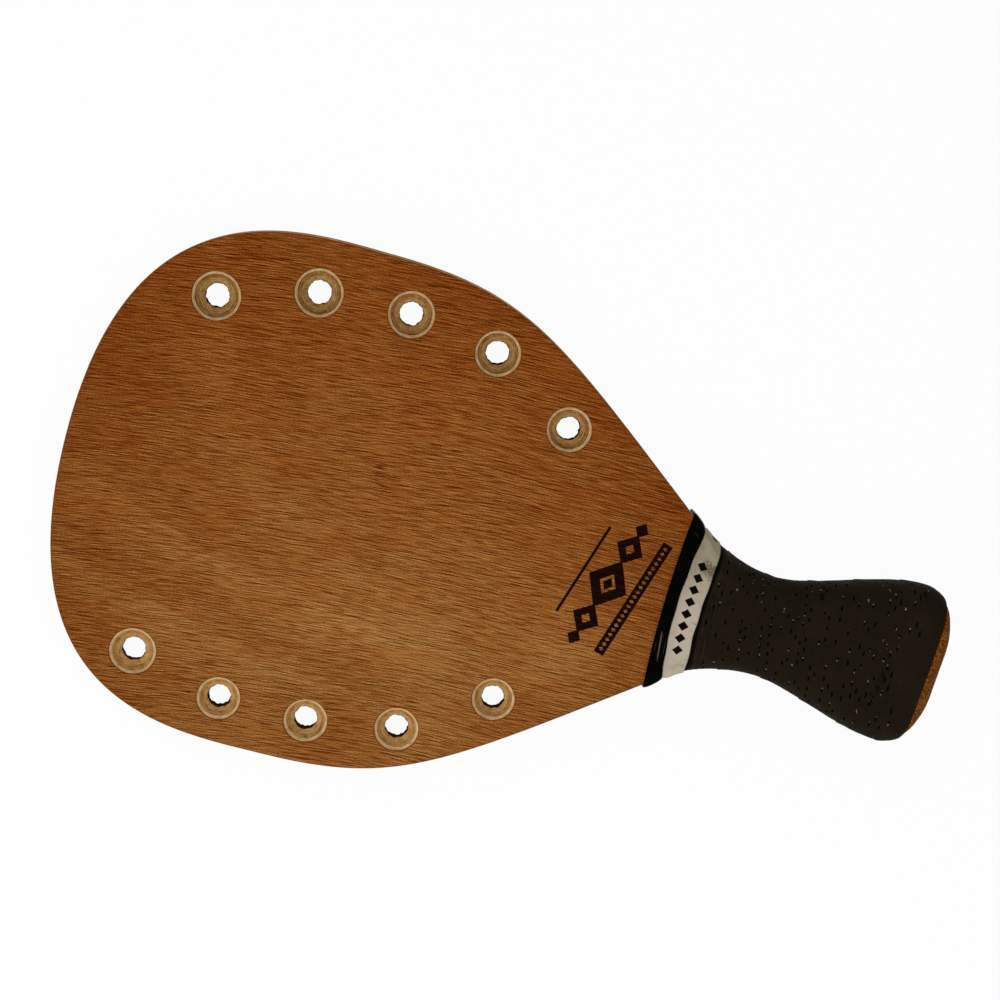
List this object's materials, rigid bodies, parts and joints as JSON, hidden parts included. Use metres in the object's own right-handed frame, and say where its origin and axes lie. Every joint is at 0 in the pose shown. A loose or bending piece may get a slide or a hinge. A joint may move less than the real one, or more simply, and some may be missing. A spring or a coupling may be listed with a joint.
{
  "type": "frescobol racket",
  "caption": "Wooden beach racket with a pear-shaped drilled plywood blade and a wrapped, flared handle with cork cheeks.",
  "frame": {"origin": "centre of the whole racket's box, in the middle of the plywood", "axes": "+X runs along the racket from the tip of the blade to the butt of the handle, +Y across the blade, +Z out of the front face"},
  "size_m": [0.431, 0.2462, 0.0324],
  "materials": {
    "face_veneer": "oiled reddish brown veneer, satin",
    "cross_ply": "pale raw veneer, seen as a ring in each countersink and as a line along the rim",
    "inner_ply": "darker raw veneer, matt",
    "core_ply": "tan raw core, matt",
    "cork": "sanded cork, granular and matt",
    "perforated_grip": "perforated soft grip tape, nearly black, matt",
    "pale_tape": "thin pale grey-beige finishing tape, satin",
    "glossy_rubber": "black rubber band, glossy"
  },
  "bodies": {
    "root": {"front_veneer": "face_veneer", "front_cross_ply": "cross_ply", "front_inner_ply": "inner_ply", "core_ply": "core_ply", "back_inner_ply": "inner_ply", "back_cross_ply": "cross_ply", "back_veneer": "face_veneer", "front_cork_cheek": "cork", "back_cork_cheek": "cork", "overgrip": "perforated_grip", "finishing_tape": "pale_tape", "throat_collar": "glossy_rubber"}
  },
  "joints": []
}
